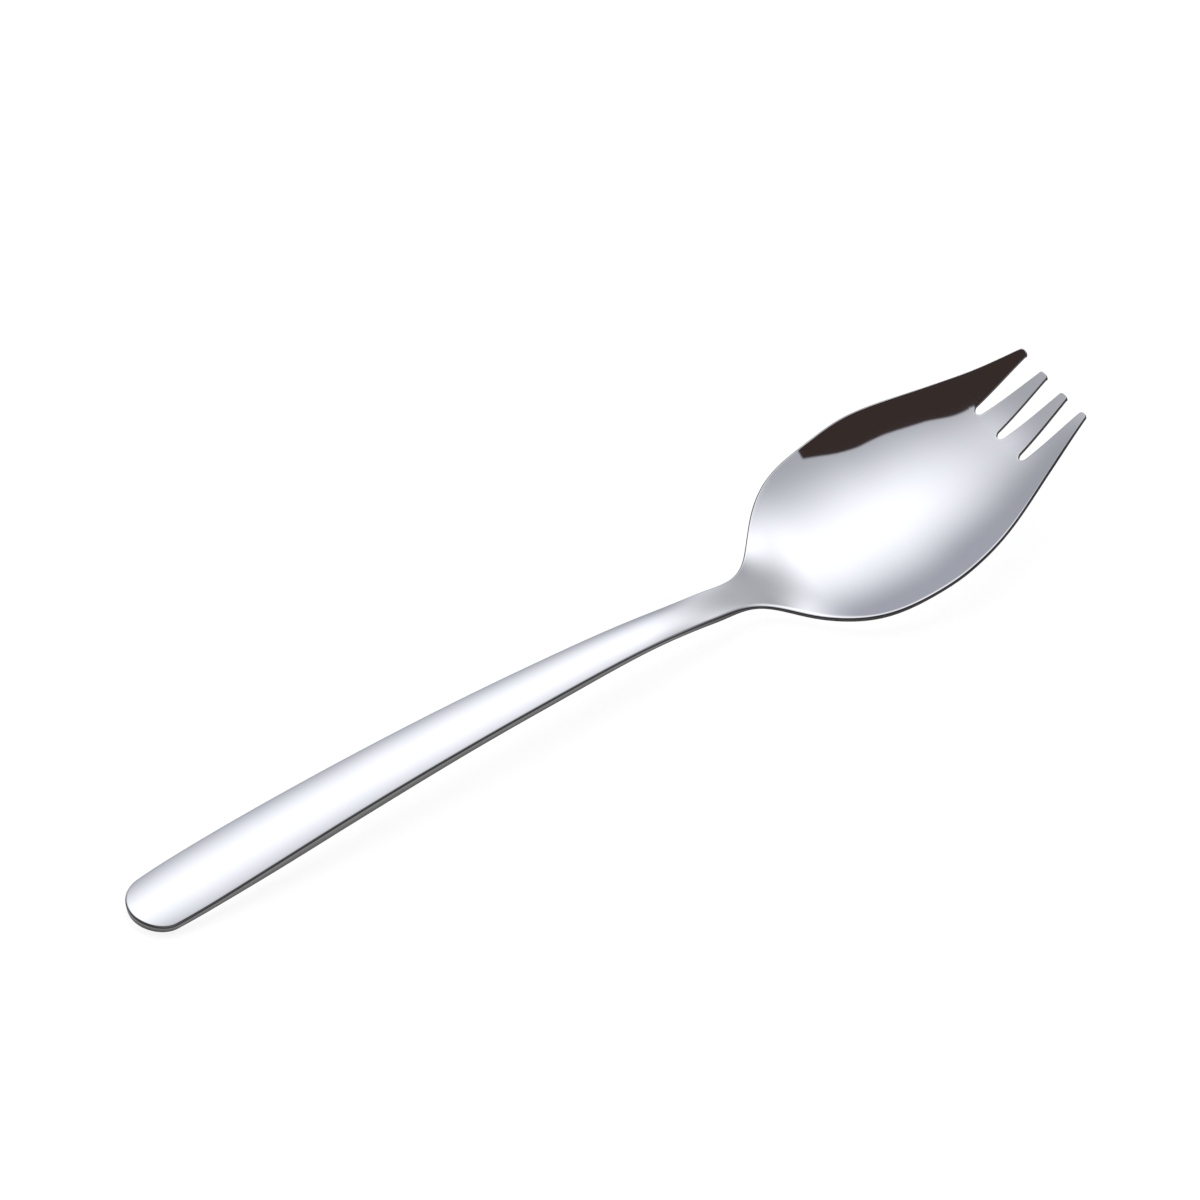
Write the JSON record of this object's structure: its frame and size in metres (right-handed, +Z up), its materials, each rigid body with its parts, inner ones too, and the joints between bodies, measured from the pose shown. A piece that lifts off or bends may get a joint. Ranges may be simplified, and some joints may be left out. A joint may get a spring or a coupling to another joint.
{
  "type": "salad spork",
  "caption": "Long-handled stainless steel spork: a flat, gently arched handle narrows to a neck and flares into a dished spoon bowl whose front edge is cut into short tapered tines.",
  "frame": {"origin": "on the table, under the middle of the spork's length, in its plane of symmetry", "axes": "+X along the handle towards the tines, +Y to the left as seen from the handle's end, +Z up out of the bowl"},
  "size_m": [0.1865, 0.0406, 0.0158],
  "materials": {
    "polished_steel": "mirror polished stainless steel"
  },
  "bodies": {
    "root": {"handle": "polished_steel", "neck": "polished_steel", "bowl": "polished_steel", "outer_tine_left": "polished_steel", "inner_tine_left": "polished_steel", "inner_tine_right": "polished_steel", "outer_tine_right": "polished_steel"}
  },
  "joints": []
}
